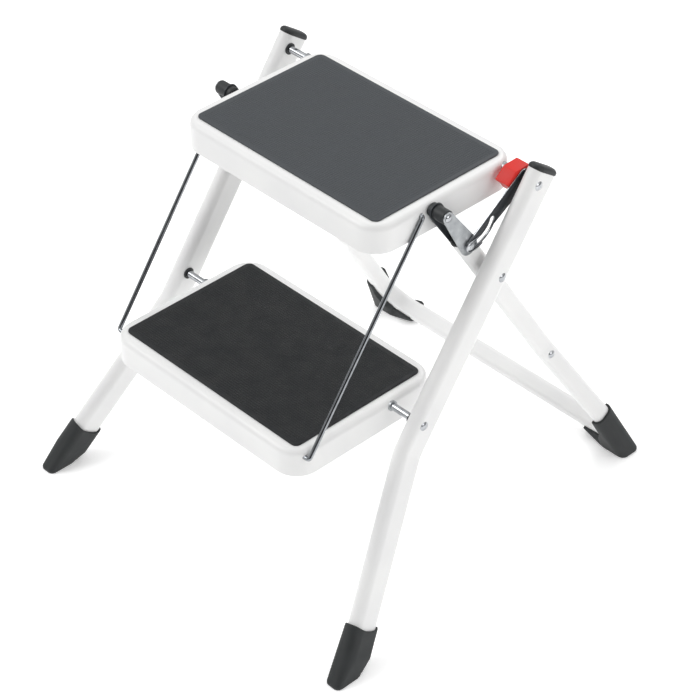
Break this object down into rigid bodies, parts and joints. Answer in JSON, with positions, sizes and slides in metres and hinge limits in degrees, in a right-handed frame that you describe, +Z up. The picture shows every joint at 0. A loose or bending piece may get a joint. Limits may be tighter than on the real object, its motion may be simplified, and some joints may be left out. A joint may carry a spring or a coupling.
{
  "type": "step stool",
  "caption": "Folding step stool with flat-oval front legs, a U-shaped rear frame, ribbed treads and a slotted latch lever with a release grip.",
  "frame": {"origin": "on the floor, at the middle of the footprint of the open stool", "axes": "+Z up, -Y towards the user who climbs it, +X to the right seen from behind the user"},
  "size_m": [0.4864, 0.5062, 0.4585],
  "materials": {
    "white_coating": "smooth satin powder coat",
    "black_plastic": "fine moulded grain",
    "foot_rubber": "matt",
    "grey_mat": "matt with a fine embossed grid",
    "dark_mat": "matt with a fine embossed grid",
    "red_plastic": "satin moulded",
    "dark_coating": "satin",
    "zinc": "zinc plated, satin",
    "chrome": "bright"
  },
  "bodies": {
    "front_frame": {"front_leg_left": "white_coating", "front_leg_right": "white_coating", "leg_cap_left": "black_plastic", "leg_cap_right": "black_plastic", "front_foot_left": "foot_rubber", "front_foot_right": "foot_rubber", "upper_axle": "chrome", "lower_axle": "chrome", "upper_axle_washers": "black_plastic", "lower_axle_washers": "black_plastic", "scissor_rivet_left": "chrome", "scissor_rivet_right": "chrome", "scissor_spacer_left": "black_plastic", "scissor_spacer_right": "black_plastic"},
    "upper_step": {"upper_tread": "white_coating", "upper_mat": "grey_mat", "upper_tread_stiffener": "white_coating", "upper_axle_bushes": "zinc", "toggle_pin_left": "chrome", "toggle_pin_right": "chrome"},
    "lower_step": {"lower_tread": "white_coating", "lower_mat": "dark_mat", "lower_tread_stiffener": "white_coating", "lower_axle_bushes": "zinc"},
    "rear_legs": {"rear_frame": "white_coating", "rear_foot_left": "foot_rubber", "rear_foot_right": "foot_rubber", "rear_leg_plug_left": "black_plastic", "rear_leg_plug_right": "black_plastic", "rear_leg_rivets": "chrome", "knuckle_bushes": "zinc"},
    "rod_left": {"link_rod_left": "chrome"},
    "rod_right": {"link_rod_right": "chrome"},
    "toggle_left": {"link_plate_left": "zinc", "link_arm_left": "dark_coating", "toggle_bush_left": "black_plastic", "knuckle_bolt_left": "chrome"},
    "toggle_right": {"link_plate_right": "zinc", "link_arm_right": "dark_coating", "toggle_bush_right": "black_plastic", "knuckle_bolt_right": "chrome"},
    "lever": {"latch_lever": "dark_coating", "release_grip": "red_plastic", "latch_clip": "chrome"}
  },
  "joints": [
    {"name": "upper_step_fold", "type": "hinge", "parent": "front_frame", "child": "upper_step", "pos_m": [0, 0.07513, 0.4365], "axis": [1, 0, 0], "range_deg": [0, 49]},
    {"name": "lower_step_fold", "type": "hinge", "parent": "front_frame", "child": "lower_step", "pos_m": [0, -0.08116, 0.219], "axis": [1, 0, 0], "range_deg": [0, 49]},
    {"name": "rear_legs_fold", "type": "hinge", "parent": "front_frame", "child": "rear_legs", "pos_m": [0, 0.02711, 0.3491], "axis": [1, 0, 0], "range_deg": [-66, 0]},
    {"name": "rod_left_swing", "type": "hinge", "parent": "upper_step", "child": "rod_left", "pos_m": [0, -0.04287, 0.4355], "axis": [1, 0, 0], "range_deg": [-49, 0]},
    {"name": "rod_right_swing", "type": "hinge", "parent": "upper_step", "child": "rod_right", "pos_m": [0, -0.04287, 0.4355], "axis": [1, 0, 0], "range_deg": [-49, 0]},
    {"name": "toggle_left_swing", "type": "hinge", "parent": "upper_step", "child": "toggle_left", "pos_m": [0, -0.02862, 0.43691], "axis": [1, 0, 0], "range_deg": [0, 41.72]},
    {"name": "toggle_right_swing", "type": "hinge", "parent": "upper_step", "child": "toggle_right", "pos_m": [0, -0.02862, 0.43691], "axis": [1, 0, 0], "range_deg": [0, 41.72]},
    {"name": "latch_lever_swing", "type": "hinge", "parent": "front_frame", "child": "lever", "pos_m": [0, 0.07513, 0.4365], "axis": [1, 0, 0], "range_deg": [0, 33.2]}
  ],
  "couplings": [
    {"joint": "lower_step_fold", "follows": "upper_step_fold", "ratio": 1},
    {"joint": "rear_legs_fold", "follows": "upper_step_fold", "ratio": -1.3469},
    {"joint": "rod_left_swing", "follows": "upper_step_fold", "ratio": -1},
    {"joint": "rod_right_swing", "follows": "upper_step_fold", "ratio": -1},
    {"joint": "toggle_left_swing", "follows": "upper_step_fold", "ratio": 0.8514},
    {"joint": "toggle_right_swing", "follows": "upper_step_fold", "ratio": 0.8514},
    {"joint": "latch_lever_swing", "follows": "upper_step_fold", "ratio": 0.6775}
  ]
}
